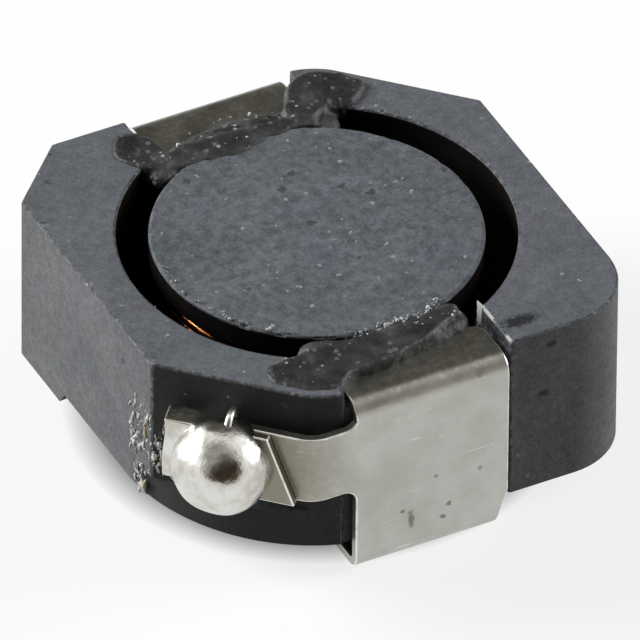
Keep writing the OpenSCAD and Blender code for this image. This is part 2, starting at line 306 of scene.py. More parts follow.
def stain(tree, tint, mm, place, size, colour):
    """Colours a patch at a place, with a size along each axis and an edge ragged at 0.11 mm."""
    ragged = add(tree, NOISE, inputs={"Vector": mm, "Scale": 9.0, "Detail": 4.0, "Roughness": 0.75})
    away = add(tree, VECTOR, {"operation": "SUBTRACT"}, {0: mm, 1: place})
    away = add(tree, VECTOR, {"operation": "DIVIDE"}, {0: away, 1: size})
    away = add(tree, VECTOR, {"operation": "LENGTH"}, {0: away}, give="Value")
    edge = add(tree, MATH, {"operation": "MULTIPLY_ADD"}, {0: ragged, 1: 1.6, 2: away})
    half = add(tree, MATH, {"operation": "MULTIPLY"}, {0: edge, 1: 0.5})
    inside = add(tree, RAMP, inputs={0: half}, stops=[(0.62, 1.0), (0.84, 0.0)])
    return add(tree, MIX, OVER, {0: inside, 6: tint, 7: colour}, give=2)


# Sintered nickel-zinc ferrite, ground: a dull blue-grey ceramic with a fine
# grain, a few open pores, and small bright crystals where the wheel cut them.
# The real grain is too fine to show, so it is drawn at 0.07 mm, with patches
# of 0.24 mm and clouds of 1.4 mm. For the same reason the pores have radii of
# up to 0.11 mm, and the crystals of up to 0.05 mm. The faces round the long
# chamfers are drawn nearly black, as painted shade.
def ground_ferrite(name, top, top_dark, side, side_light, mottle, pores, crystals, marks_and_shade=()):
    material, tree, shader, mm = new_material(name, ior=1.6)
    shader.inputs["Specular IOR Level"].default_value = 0.22
    grain = add(tree, NOISE, inputs={"Vector": mm, "Scale": 14.0, "Detail": 5.0, "Roughness": 0.8})
    patch = add(tree, NOISE, inputs={"Vector": mm, "Scale": 4.2, "Detail": 8.0, "Roughness": 0.78})
    cloud = add(tree, NOISE, inputs={"Vector": mm, "Scale": 0.7, "Detail": 4.0, "Roughness": 0.6})

    # The top was ground after the sides were pressed, and is bluer
    facing = add(tree, "NewGeometry", give="Normal")
    upward = add(tree, "SeparateXYZ", inputs={0: facing}, give="Z")
    flat = add(tree, RAMP, inputs={0: upward}, stops=[(0.45, 0.0), (0.75, 1.0)])
    on_top = add(tree, RAMP, inputs={0: cloud}, stops=[(0.35, top_dark), (0.62, top)])
    on_side = add(tree, RAMP, inputs={0: cloud}, stops=[(0.4, side), (0.7, side_light)])
    tint = add(tree, MIX, OVER, {0: flat, 6: on_side, 7: on_top}, give=2)
    speckle = add(tree, RAMP, inputs={0: grain}, stops=[(0.3, 0.7), (0.5, 1.0), (0.7, 1.35)])
    tint = add(tree, MIX, TIMES, {0: 1.0, 6: tint, 7: speckle}, give=2)
    mottled = add(tree, RAMP, inputs={0: patch}, stops=[(0.4, 1 - mottle), (0.5, 1.0), (0.62, 1 + mottle)])
    tint = add(tree, MIX, TIMES, {0: 1.0, 6: tint, 7: mottled}, give=2)

    # Painted shade, nearly black, on the faces that look out across the two corners with the leads
    across = (0.7071, 0.7071, 0)
    corner = add(tree, VECTOR, {"operation": "DOT_PRODUCT"}, {0: facing, 1: across}, give="Value")
    corner = add(tree, MATH, {"operation": "ABSOLUTE"}, {0: corner})
    chamfer_shade_mask = add(tree, MATH, {"operation": "MULTIPLY_ADD"}, {0: patch, 1: 0.3, 2: corner})
    chamfer_shade = add(tree, RAMP, inputs={0: chamfer_shade_mask}, stops=[(0.9, 0.0), (0.99, 0.85)])
    tint = add(tree, MIX, OVER, {0: chamfer_shade, 6: tint, 7: "#221f1d"}, give=2)

    # Pores and crystals have torn outlines
    wobble = add(tree, NOISE, inputs={"Vector": mm, "Scale": 9.0, "Detail": 3.0}, give="Color")
    torn = add(tree, VECTOR, {"operation": "SCALE"}, {0: wobble, "Scale": 0.22})
    torn = add(tree, VECTOR, {"operation": "ADD"}, {0: mm, 1: torn})
    pits = spots(tree, torn, 2.4, 0.11, pores)
    tint = add(tree, MIX, OVER, {0: pits, 6: tint, 7: "#48494c"}, give=2)
    shine = spots(tree, torn, 4.5, 0.05, crystals)
    tint = add(tree, MIX, OVER, {0: shine, 6: tint, 7: "#9a9ea3"}, give=2)

    # The faint green and violet casts of fired ferrite
    cast_stops = [(0.4, "#fbfffc"), (0.5, "#ffffff"), (0.6, "#fffbff")]
    cast = add(tree, RAMP, inputs={0: cloud.node.outputs["Color"]}, stops=cast_stops)
    tint = add(tree, MIX, TIMES, {0: 1.0, 6: tint, 7: cast}, give=2)
    # Dark marks, and painted shade where a patch covers the clip channel's wall
    for place, size in marks_and_shade:
        tint = stain(tree, tint, mm, place, size, "#222225")

    rough = add(tree, RAMP, inputs={0: grain}, stops=[(0.3, 0.75), (0.7, 0.55)])
    height = add(tree, MATH, {"operation": "ADD"}, {0: grain, 1: patch})
    height = add(tree, MATH, {"operation": "SUBTRACT"}, {0: height, 1: pits})
    coat(tree, shader, tint, rough, height, 0.6, 0.015)
    return material


# The same ferrite where an edge is worn: dark and rubbed, with bright flakes
# of about 0.14 mm, and painted highlights as brighter patches at given places
def worn_ferrite(name, rubbed, flake, share, painted_glints=()):
    material, tree, shader, mm = new_material(name, ior=1.6)
    crumble = add(tree, NOISE, inputs={"Vector": mm, "Scale": 7.0, "Detail": 6.0, "Roughness": 0.75})
    stops = [(0.42, rubbed), (share, "#606367"), (share + 0.03, flake)]
    tint = add(tree, RAMP, inputs={0: crumble}, stops=stops)
    # painted highlights
    for place, size in painted_glints:
        tint = stain(tree, tint, mm, place, size, flake)
    rough = add(tree, RAMP, inputs={0: crumble}, stops=[(0.4, 0.7), (0.7, 0.4)])
    coat(tree, shader, tint, rough, crumble, 0.9, 0.03)
    return material


# The walls of the winding space, drawn almost black and dull as painted shade,
# since they lie in shade, with faint clouds of 0.5 mm
def shaded_wall(name):
    material, tree, shader, mm = new_material(name)
    shader.inputs["Specular IOR Level"].default_value = 0.06
    film = add(tree, NOISE, inputs={"Vector": mm, "Scale": 2.0, "Detail": 4.0})
    tint = add(tree, RAMP, inputs={0: film}, stops=[(0.4, "#080606"), (0.7, "#120d0a")])
    rough = add(tree, RAMP, inputs={0: film}, stops=[(0.3, 0.9), (0.7, 0.75)])
    coat(tree, shader, tint, rough, film, 0.4, 0.02)
    return material


# Two knocks on the front side, a smear on the top, and painted shade on the
# wall of the clip's channel, as (place, size along each axis)
front_marks_and_shade = [
    ((2.86, -5.05, 4.2), (0.16, 0.4, 0.12)),
    ((2.7, -5.05, 2.94), (0.18, 0.4, 0.14)),
    ((2.4, -4.5, 4.58), (0.6, 0.24, 0.4)),
    # painted shade on the wall of the clip's channel
    ((1.8, -4.4, 4.38), (0.3, 1.4, 0.36)),
]
# The channel's edge has a painted highlight at both its ends
channel_glints = [
    ((1.93, -4.0, 4.58), (0.12, 0.42, 0.12)),
    ((1.93, -4.93, 4.58), (0.12, 0.22, 0.12)),
]
ring_face = ground_ferrite(
    "ground_ring_ferrite", "#676b70", "#5f6368", "#636467", "#727274", 0.17, 0.10, 0.12, front_marks_and_shade
)
ring_edge = worn_ferrite("worn_ring_edge_and_glints", "#1f2022", "#b9babb", 0.62, channel_glints)
fresh_break = worn_ferrite("fresh_ferrite_break", "#7c7e80", "#d0d1d1", 0.55)
bore_wall = shaded_wall("painted_shade_bore_wall")
for material in (ring_face, ring_edge, fresh_break, bore_wall):
    ring.data.materials.append(material)


def wears(edge):
    """The top's edges and the upright ones, which get knocked. The foot and the ledge stay sharp."""
    sharp = edge.is_manifold and edge.calc_face_angle() > math.radians(40)
    z = middle(edge).z
    return sharp and z > RING_LOW.z + 0.07 and (upright(edge) or z > LEDGE_TOP + 0.08)


# Grinding leaves a narrow broken edge, which wears, and gets its own finish
only(ring)
bpy.ops.object.mode_set(mode="EDIT")
choose("EDGE", wears)
bpy.ops.mesh.bevel(offset=0.05, segments=2, affect="EDGES", material=1, clamp_overlap=False)
bpy.ops.object.mode_set(mode="OBJECT")
clean_up(ring, 0.004)


def chip(x, y, size, seed):
    """A rough ball at the top's height, to break a small flake out with."""
    put_down()
    height = RING_HIGH.z + size * 0.35
    bpy.ops.mesh.primitive_ico_sphere_add(subdivisions=2, radius=size, location=(x, y, height))
    bpy.ops.object.mode_set(mode="EDIT")
    bpy.ops.transform.resize(value=(1.3, 0.8, 0.7))
    bpy.ops.transform.vertex_random(offset=size * 0.25, seed=seed)
    bpy.ops.object.mode_set(mode="OBJECT")
    return bpy.context.object


# Chips along the bore's mouth and the outer edges, as (x, y, size)
flakes = [
    (-4.98, 2.75, 0.10), (-5.03, 0.55, 0.09), (-5.04, -2.3, 0.12), (-3.7, -3.75, 0.07),
    (2.65, 3.25, 0.10), (3.0, 2.95, 0.09), (3.55, -2.25, 0.07), (-1.45, -3.95, 0.08),
    (-2.45, -3.4, 0.09), (5.04, 0.1, 0.08), (4.75, -4.4, 0.07), (-4.3, 4.4, 0.07),
]
flake_tool = join([chip(*flake, seed) for seed, flake in enumerate(flakes)])
flake_tool.data.materials.append(fresh_break)
carve(ring, flake_tool, own_material=True)

only(ring)
bpy.ops.object.mode_set(mode="EDIT")
choose("FACE", lambda f: near(f.calc_center_median().xy.length, BORE, 0.03) and abs(f.normal.z) < 0.2)
ring.active_material_index = 3  # the bore's wall
bpy.ops.object.material_slot_assign()
bpy.ops.object.mode_set(mode="OBJECT")
SMOOTH_ANGLE = math.radians(12)
bpy.ops.object.shade_smooth_by_angle(angle=SMOOTH_ANGLE)
deliver(ring, "ferrite_ring", nodes=["shield_core"])

# ------------------------------------------------
# Drum core: a spool of the same ferrite, turned from a pressed blank, with the
# coil between its two flanges. Its rim is thin and has crumbled most.

DRUM_LOW, DRUM_HIGH = node_box("drum_core")
DRUM_MIDDLE, DRUM_HEIGHT = (DRUM_LOW.z + DRUM_HIGH.z) / 2, DRUM_HIGH.z - DRUM_LOW.z
FLANGE_THICKNESS = 0.55
COIL_LOW, COIL_HIGH = DRUM_LOW.z + FLANGE_THICKNESS, DRUM_HIGH.z - FLANGE_THICKNESS
FLANGE, HUB = DRUM_HIGH.x, 1.95  # radii
RIM = 0.07

put_down()
bpy.ops.mesh.primitive_cylinder_add(
    vertices=192, radius=FLANGE, depth=DRUM_HEIGHT, location=(0, 0, DRUM_MIDDLE)
)
drum = bpy.context.object
bpy.ops.object.transform_apply()
bpy.ops.object.mode_set(mode="EDIT")
for height in (COIL_LOW, COIL_HIGH):
    bpy.ops.mesh.select_all(action="SELECT")
    bpy.ops.mesh.bisect(plane_co=(0, 0, height), plane_no=(0, 0, 1))
choose("FACE", lambda f: abs(f.normal.z) < 0.1 and COIL_LOW < f.calc_center_median().z < COIL_HIGH)
bpy.ops.mesh.extrude_region_move()
bpy.ops.transform.resize(value=(HUB / FLANGE, HUB / FLANGE, 1))


def outer_rim(edge):
    """The outer edges of both flanges."""
    away = abs(middle(edge).z - DRUM_MIDDLE)
    return near(away, DRUM_HEIGHT / 2) and middle(edge).xy.length > FLANGE * 0.99


choose("EDGE", outer_rim)
bpy.ops.mesh.bevel(offset=RIM, segments=3, affect="EDGES", material=1)
# The rim's vertices are knocked in unevenly, as the fired edge breaks
random.seed(3)
shape = bmesh.from_edit_mesh(drum.data)
for vertex in shape.verts:
    radius = vertex.co.xy.length
    if vertex.co.z > DRUM_HIGH.z - 0.065 and radius > FLANGE - RIM:
        around = math.atan2(vertex.co.y, vertex.co.x)
        rough = 0.5 + 0.5 * math.sin(7 * around + 1.3) * math.sin(17 * around)
        bite = random.random() ** 4 * RIM * rough
        vertex.co.xy *= 1 - bite / radius
        vertex.co.z -= bite * 0.6
bmesh.update_edit_mesh(drum.data)
bpy.ops.mesh.select_all(action="SELECT")
bpy.ops.mesh.normals_make_consistent(inside=False)
choose("FACE", lambda f: f.calc_center_median().z < DRUM_HIGH.z - RIM)
drum_face = ground_ferrite(
    "ground_drum_ferrite", "#666b70", "#5c6065", "#55565a", "#606165", 0.33, 0.3, 0.5
)
drum_rim = worn_ferrite("crumbled_drum_rim", "#4a4b4e", "#d4d5d6", 0.56)
for material in (drum_face, drum_rim, shaded_wall("painted_shade_spool")):
    drum.data.materials.append(material)
drum.active_material_index = 2  # the spool, in painted shade
bpy.ops.object.material_slot_assign()
bpy.ops.object.mode_set(mode="OBJECT")
bpy.ops.object.shade_smooth_by_angle(angle=SMOOTH_ANGLE)
deliver(drum, "ferrite_drum", nodes=["drum_core"])

# ------------------------------------------------
# Winding: one length of enamelled copper wire. It comes up out of the front
# solder, over the tab and in through the window, winds its turns on the drum,
# and leaves the same way at the rear. Its ends are bared and tinned.

WIRE, LEAD = 0.22, 0.18  # diameters over the enamel, and bared
COIL_R = FLANGE - 0.15 - WIRE / 2  # the outer turns lie a little behind the rims
TURNS, TURN_STEPS = 12, 40
PITCH = (COIL_HIGH - COIL_LOW) / TURNS
CHAMFER_N = 5.254  # from the part's axis to a long chamfer
ARM_LOW_Z, ARM_TOP_Z = 2.15, 3.78
TAB_BACK_N, TAB_FRONT_N = CHAMFER_N + 0.25, CHAMFER_N + 0.67


def at_corner(n, u, z, rear=False):
    """A place out from a long chamfer: n outwards, u towards the clip."""
    side = 1 if rear else -1
    return Vector((side * (n - u) / math.sqrt(2), side * (n + u) / math.sqrt(2), z))


def lead_route(rear):
    """Up in front of the tab, over its top in an arch, down behind it, and in through the window."""
    crest = 0.17 if rear else 0.31
    top = ARM_TOP_Z + (0.10 if rear else 0.31)
    behind, front = CHAMFER_N + 0.125, TAB_FRONT_N + 0.09
    route = [(front, 0, 2.8), (front, 0, top - crest)]
    steps = 8
    for step in range(1, steps + 1):
        a = math.pi / 2 * step / steps
        route.append((front - crest + crest * math.cos(a), 0, top - crest + crest * math.sin(a)))
    for step in range(steps):
        a = math.pi / 2 * (1 + step / steps)
        route.append((behind + crest + crest * math.cos(a), 0, top - crest + crest * math.sin(a)))
    route += [(behind, 0, top - crest), (behind, 0, 2.2)]
    route += [(behind - 0.05, 0, 1.95), (behind - 0.25, 0, 1.83), (3.1, 0, 1.83)]
    return [at_corner(n, u, z, rear) for n, u, z in route]


front_route, rear_route = lead_route(False), lead_route(True)
coil_route = []
start = math.atan2(front_route[-1].y, front_route[-1].x) - 0.5
for step in range(TURNS * TURN_STEPS):
    turn = step / TURN_STEPS
    a = start - turn * 2 * math.pi
    height = min(max(COIL_LOW + PITCH * (0.5 + turn), COIL_LOW + WIRE / 2), COIL_HIGH - WIRE / 2)
    coil_route.append(Vector((COIL_R * math.cos(a), COIL_R * math.sin(a), height)))
curve = bpy.data.curves.new("wire", "CURVE")
curve.dimensions = "3D"
curve.bevel_depth = WIRE / 2
curve.bevel_resolution = 3
curve.use_fill_caps = True
for route in (coil_route, front_route, rear_route):
    spline = curve.splines.new("POLY")
    spline.points.add(len(route) - 1)
    for point, place in zip(spline.points, route):
        point.co = (*place, 1)
        point.radius = 1.0 if route is coil_route else LEAD / WIRE
wire = bpy.data.objects.new("wire", curve)
bpy.context.scene.collection.objects.link(wire)
only(wire)
bpy.ops.object.convert(target="MESH")
wire = bpy.context.object

# The inner layers, as one wound body under the outer turns
BODY_R, BODY_HEIGHT = COIL_R - 0.02, COIL_HIGH - COIL_LOW - 0.02
put_down()
bpy.ops.mesh.primitive_cylinder_add(
    vertices=96, radius=BODY_R, depth=BODY_HEIGHT, location=(0, 0, (COIL_LOW + COIL_HIGH) / 2)
)
body = bpy.context.object
bpy.ops.object.transform_apply()
bpy.ops.object.mode_set(mode="EDIT")
choose("FACE", lambda f: abs(f.normal.z) > 0.9)
bpy.ops.mesh.inset(thickness=COIL_R - HUB - 0.04)
bpy.ops.mesh.delete(type="FACE")
choose("EDGE", lambda e: e.is_boundary)
bpy.ops.mesh.bridge_edge_loops()
bpy.ops.object.mode_set(mode="OBJECT")
wire = join([wire, body])
clean_up(wire, 0.0005, flatten=False)
bpy.ops.object.shade_smooth()

# Copper under dark brown enamel in the coil, drawn darker still as painted
# shade where it lies in the gap, with a painted highlight at one place on the
# left, and tinned where it leaves the coil. The tarnish is in patches of 0.3 mm.
BARED_R = 5.1  # the radius past which the wire is bare
material, tree, shader, mm = new_material("enamelled_copper_wire", metallic=1.0)
tarnish = add(tree, NOISE, inputs={"Vector": mm, "Scale": 3.0, "Detail": 4.0})
# The copper is drawn nearly black: dark enamel, and painted shade
copper = add(tree, RAMP, inputs={0: tarnish}, stops=[(0.4, "#1a0e08"), (0.6, "#3a1d10")])
# A painted highlight at one place on the left
copper = stain(tree, copper, mm, (-3.3, -0.87, 3.9), (0.45, 0.55, 0.9), "#e08c58")
tinned = add(tree, RAMP, inputs={0: tarnish}, stops=[(0.4, "#c9c7c0"), (0.6, "#e6e5e1")])
flat = add(tree, VECTOR, {"operation": "MULTIPLY"}, {0: mm, 1: (1, 1, 0)})
reach = add(tree, VECTOR, {"operation": "LENGTH"}, {0: flat}, give="Value")
bared = add(tree, MATH, {"operation": "GREATER_THAN"}, {0: reach, 1: BARED_R})
tint = add(tree, MIX, OVER, {0: bared, 6: copper, 7: tinned}, give=2)
rough = add(tree, RAMP, inputs={0: tarnish}, stops=[(0.3, 0.2), (0.7, 0.34)])
coat(tree, shader, tint, rough, tarnish, 0.3, 0.01)
deliver(wire, "copper_winding", [material], ["winding"])

# ------------------------------------------------
# Terminal clips: tin-plated sheet, stamped and folded. Each clasps the ring
# from its top to its foot, and its side arm bends along the chamfer and folds
# back on itself to hold the lead.

CLIP_LOW, CLIP_HIGH = node_box("front_terminal")
SHEET = 0.2
CLIP_HALF = 1.77
# The sheet is drawn as its middle surface, with the bends' radii to match
FACE_Y = CLIP_LOW.y + SHEET / 2
PAD_Z, LIP_Z = SHEET / 2, CLIP_HIGH.z - SHEET / 2
PAD_END, LIP_END = CLIP_LOW.y + 1.9, CLIP_LOW.y + 1.35
LOWER_R, UPPER_R = 0.3 - SHEET / 2, 0.4 - SHEET / 2
PLATE_LOW, PLATE_HIGH = LOWER_R + PAD_Z, LIP_Z - UPPER_R
ARM_R = 0.8 - SHEET / 2
ARM_N = TAB_BACK_N + SHEET / 2
BEND_Y = CLIP_LOW.y + 0.8
BEND_X = -math.sqrt(2) * (ARM_N - ARM_R) - BEND_Y
ARM_END_U, FLAP_END_U, FLAP_SLANT = -1.1, 1.14, 0.3
FOLD_R = 0.11
DIAGONAL = math.sqrt(0.5)
# The plate narrows on its right below this height, and so does the pad
TRIM_TOP, TRIM_RUN, TRIM = 0.9, 0.7, 0.24


def stretch(move):
    """Draws the selected edge of the sheet out into a flat."""
    bpy.ops.mesh.extrude_edges_move(TRANSFORM_OT_translate={"value": move})


def fold(centre, axis, degrees, steps):
    """Bends the sheet on from the selected edge. Spin turns the other way round, hence the minus."""
    bpy.ops.mesh.spin(steps=steps, angle=-math.radians(degrees), center=centre, axis=axis)


put_down()
bpy.ops.mesh.primitive_plane_add(
    size=1, location=(0, FACE_Y, (PLATE_LOW + PLATE_HIGH) / 2), rotation=(math.radians(90), 0, 0)
)
clip = bpy.context.object
clip.scale = (2 * CLIP_HALF, PLATE_HIGH - PLATE_LOW, 1)
bpy.ops.object.transform_apply()
bpy.ops.object.mode_set(mode="EDIT")
for height in (TRIM_TOP, ARM_LOW_Z, ARM_TOP_Z):
    bpy.ops.mesh.select_all(action="SELECT")
    bpy.ops.mesh.bisect(plane_co=(0, FACE_Y, height), plane_no=(0, 0, 1))
# The lip, over the ring's top
choose("EDGE", lambda e: near(middle(e).z, PLATE_HIGH))
fold((0, FACE_Y + UPPER_R, PLATE_HIGH), (-1, 0, 0), 90, 8)
stretch((0, LIP_END - FACE_Y - UPPER_R, 0))
# The pad, under its foot
choose("EDGE", lambda e: near(middle(e).z, PLATE_LOW) and near(middle(e).y, FACE_Y))
fold((0, FACE_Y + LOWER_R, PLATE_LOW), (1, 0, 0), 90, 8)
stretch((0, PAD_END - FACE_Y - LOWER_R, 0))
# The arm, round to the long chamfer, and its end folded back on it
ARM_MIDDLE_Z = (ARM_LOW_Z + ARM_TOP_Z) / 2
choose("EDGE", lambda e: near(middle(e).x, -CLIP_HALF) and near(middle(e).z, ARM_MIDDLE_Z, 0.05))
stretch((BEND_X + CLIP_HALF, 0, 0))
fold((BEND_X, BEND_Y, 0), (0, 0, -1), 45, 8)
bend_end_u = (BEND_X - BEND_Y) / math.sqrt(2)
stretch((-(bend_end_u - ARM_END_U) * DIAGONAL, (bend_end_u - ARM_END_U) * DIAGONAL, 0))
fold(at_corner(ARM_N + FOLD_R, ARM_END_U, 0), (0, 0, 1), 180, 16)
stretch(((FLAP_END_U - ARM_END_U) * DIAGONAL, -(FLAP_END_U - ARM_END_U) * DIAGONAL, 0))
bpy.ops.mesh.select_all(action="SELECT")
bpy.ops.mesh.remove_doubles(threshold=0.0005)
bpy.ops.object.mode_set(mode="OBJECT")
for vertex in clip.data.vertices:
    place = vertex.co
    # the flap's end is cut on a slant
    n, u = -(place.x + place.y) * DIAGONAL, (place.x - place.y) * DIAGONAL
    if near(n, ARM_N + 2 * FOLD_R, 0.01) and near(u, FLAP_END_U, 0.02):
        lean = FLAP_SLANT if place.z < ARM_MIDDLE_Z else -FLAP_SLANT
        vertex.co.x += lean * DIAGONAL
        vertex.co.y -= lean * DIAGONAL
    # the pad is trimmed on its right, and the trim runs out up the plate
    if near(place.x, CLIP_HALF) and place.z < TRIM_TOP:
        vertex.co.x -= TRIM * min(1, (TRIM_TOP - place.z) / TRIM_RUN)
press(clip, "SOLIDIFY", thickness=SHEET, offset=0, use_even_offset=True)
only(clip)
bpy.ops.object.mode_set(mode="EDIT")
bpy.ops.mesh.select_all(action="SELECT")
bpy.ops.mesh.normals_make_consistent(inside=False)


def corner_edge(edge):
    """An edge through the sheet at a corner of the pad, the lip or the arm's root."""
    if not near((edge.verts[1].co - edge.verts[0].co).length, SHEET, 0.03):
        return False
    x, y, z = middle(edge)
    at_lip = near(z, LIP_Z, 0.02) and near(y, LIP_END, 0.02) and near(abs(x), CLIP_HALF, 0.02)
    at_pad = near(z, PAD_Z, 0.02) and near(y, PAD_END, 0.02)
    at_arm = near(z, ARM_TOP_Z, 0.02) or near(z, ARM_LOW_Z, 0.02)
    at_root = near(x, -CLIP_HALF, 0.02) and near(y, FACE_Y, 0.02) and at_arm
    return at_lip or at_pad or at_root


choose("EDGE", corner_edge)
bpy.ops.mesh.bevel(offset=0.3, segments=8, affect="EDGES")
bpy.ops.object.mode_set(mode="OBJECT")


# Bright tin on rolled sheet: satin, in clouds of 0.9 mm, with dark specks, up to
# 0.07 mm in radius, where it was handled. The mill's scratches are drawn 0.07 mm
# wide and 1.2 mm long, which is coarser than real ones, so that they show.
def tin_plate(name, marks_at):
    material, tree, shader, mm = new_material(name, metallic=1.0)
    cloud = add(tree, NOISE, inputs={"Vector": mm, "Scale": 1.1, "Detail": 5.0, "Roughness": 0.6})
    fine = add(tree, NOISE, inputs={"Vector": mm, "Scale": 6.0, "Detail": 4.0, "Roughness": 0.7})
    tint = add(tree, RAMP, inputs={0: cloud}, stops=[(0.35, "#b0b0a9"), (0.65, "#c1c1bb")])
    specks = spots(tree, mm, 1.9, 0.07, 0.2)
    tint = add(tree, MIX, OVER, {0: specks, 6: tint, 7: "#98978f"}, give=2)
    rolled = add(tree, VECTOR, {"operation": "MULTIPLY"}, {0: mm, 1: (0.8, 0.8, 14.0)})
    scratch = add(tree, NOISE, inputs={"Vector": rolled, "Scale": 1.0, "Detail": 4.0, "Roughness": 0.7})
    line = add(tree, RAMP, inputs={0: scratch}, stops=[(0.64, 0.0), (0.68, 1.0)])
    tint = add(tree, MIX, OVER, {0: line, 6: tint, 7: "#dddcd5"}, give=2)

    # An olive film round both joints, which lie at (4.0, 4.3, 2.9) from the middle: partly flux, partly
    # painted reflection of the shaded table
    quarter = add(tree, VECTOR, {"operation": "ABSOLUTE"}, {0: mm})
    away = add(tree, VECTOR, {"operation": "DISTANCE"}, {0: quarter, 1: (4.0, 4.3, 2.9)}, give="Value")
    away = add(tree, MATH, {"operation": "MULTIPLY_ADD"}, {0: fine, 1: 0.9, 2: away})
    away = add(tree, MATH, {"operation": "MULTIPLY"}, {0: away, 1: 0.25})
    flux_and_shade = add(tree, RAMP, inputs={0: away}, stops=[(0.42, 0.85), (0.75, 0.0)])
    tint = add(tree, MIX, OVER, {0: flux_and_shade, 6: tint, 7: "#7f7a6a"}, give=2)

    # The lips, high on the clip, are drawn in a darker brown-grey
    height = add(tree, "SeparateXYZ", inputs={0: mm}, give="Z")
    level = add(tree, MATH, {"operation": "MULTIPLY_ADD"}, {0: fine, 1: 0.25, 2: height})
    level = add(tree, MATH, {"operation": "MULTIPLY"}, {0: level, 1: 0.2})
    toned_lips = add(tree, RAMP, inputs={0: level}, stops=[(0.82, 0.0), (0.885, 0.6)])
    film = add(tree, RAMP, inputs={0: fine}, stops=[(0.3, "#5a574d"), (0.5, "#7f7c71"), (0.72, "#b4b2a8")])
    tint = add(tree, MIX, OVER, {0: toned_lips, 6: tint, 7: film}, give=2)
    for place, size in marks_at:
        tint = stain(tree, tint, mm, place, size, "#817f77")
    rough = add(tree, RAMP, inputs={0: cloud}, stops=[(0.3, 0.3), (0.7, 0.42)])
    coat(tree, shader, tint, rough, scratch, 0.25, 0.01)
    return material


# The edge that the press sheared, burnished brighter than the face in patches
# of 0.17 mm
def sheared_edge(name):
    material, tree, shader, mm = new_material(name, metallic=1.0)
    grain = add(tree, NOISE, inputs={"Vector": mm, "Scale": 6.0, "Detail": 4.0, "Roughness": 0.7})
    tint = add(tree, RAMP, inputs={0: grain}, stops=[(0.35, "#c9c8c0"), (0.55, "#f0efea")])
    rough = add(tree, RAMP, inputs={0: grain}, stops=[(0.3, 0.3), (0.7, 0.5)])
    coat(tree, shader, tint, rough, grain, 0.4, 0.01)
    return material


# Four marks on the front plate, as (place, size along each axis)
plate_marks = [
    ((-0.49, -5.3, 0.9), (0.1, 0.4, 0.3)),
    ((-0.7, -5.3, 1.2), (0.08, 0.4, 0.08)),
    ((0.38, -5.3, 1.02), (0.09, 0.4, 0.1)),
    ((0.24, -5.3, 0.73), (0.1, 0.4, 0.08)),
]
clip.data.materials.append(tin_plate("tin_plated_sheet", plate_marks))
clip.data.materials.append(sheared_edge("sheared_tin_edge"))
press(
    clip, "BEVEL", width=0.03, segments=2, limit_method="ANGLE", angle_limit=math.radians(50),
    material=1, use_clamp_overlap=False,
)
bpy.ops.object.shade_smooth_by_angle(angle=SMOOTH_ANGLE)
bpy.ops.object.duplicate()
rear_clip = bpy.context.object
rear_clip.rotation_euler.z = math.pi
deliver(rear_clip, "rear_clip", nodes=["rear_terminal"])
deliver(clip, "front_clip", nodes=["front_terminal"])

# ------------------------------------------------
# Solder joints: lead-free tin solder, melted over the folded tab and the lead.
# It stands off the tab as a bright ball, and wets the tab's end in a thin film.

BALL_N = 6.0
# The film's corners: out from the part's axis, along the chamfer and up
FILM_LOW = (TAB_FRONT_N - 0.45, -1.4, 2.35)
FILM_HIGH = (TAB_FRONT_N + 0.1, -0.2, ARM_TOP_Z + 0.07)


def solder_joint(ball, u, z, rear):
    """A ball of a radius at a place on the tab, and the film beside it, run together."""
    put_down()
    place = at_corner(BALL_N, u, z, rear)
    bpy.ops.mesh.primitive_uv_sphere_add(segments=64, ring_count=32, radius=ball, location=place)
    lump = bpy.context.object
    film = box_shape(FILM_LOW, FILM_HIGH)
    only(film).rotation_euler.z = math.radians(45 if rear else 225)
    bpy.ops.object.transform_apply()
    join([lump, film])
    bpy.ops.object.transform_apply()
    press(lump, "REMESH", mode="VOXEL", voxel_size=0.03)
    press(lump, "SMOOTH", factor=0.5, iterations=12)
    ripple = bpy.data.textures.new("solder_ripple", "CLOUDS")
    ripple.noise_scale = 0.9
    ripple.noise_depth = 0
    press(lump, "DISPLACE", texture=ripple, strength=0.1, mid_level=0.5, texture_coords="LOCAL")
    bpy.ops.object.shade_smooth()
    return lump


# Solder that froze quickly: nearly a mirror, clouded in patches of 0.45 mm, with
# shallow dents 0.3 mm wide
material, tree, shader, mm = new_material("bright_solder", metallic=1.0)
cloud = add(tree, NOISE, inputs={"Vector": mm, "Scale": 2.2, "Detail": 3.0})
tint = add(tree, RAMP, inputs={0: cloud}, stops=[(0.35, "#bfbdb4"), (0.6, "#dfded9")])
rough = add(tree, RAMP, inputs={0: cloud}, stops=[(0.35, 0.14), (0.65, 0.3)])
dents = add(tree, NOISE, inputs={"Vector": mm, "Scale": 3.5, "Detail": 4.0, "Roughness": 0.6})
coat(tree, shader, tint, rough, dents, 0.35, 0.05)
deliver(solder_joint(1.07, -0.1, 2.95, False), "front_joint", [material], ["front_solder"])
deliver(solder_joint(0.85, -0.2, 2.8, True), "rear_joint", [material], ["rear_solder"])

# ------------------------------------------------
# Adhesive: dark epoxy, put on by needle over the gap at each clip, where it
# bonds drum, ring and clip. It has run a little, and cured with a soft gloss.

GAP_R, GAP_Z = 3.84, 4.29  # the middle of the filled part of the gap
DROP = (0.44, 0.44, 0.3)  # the drops that fill it, before they run together


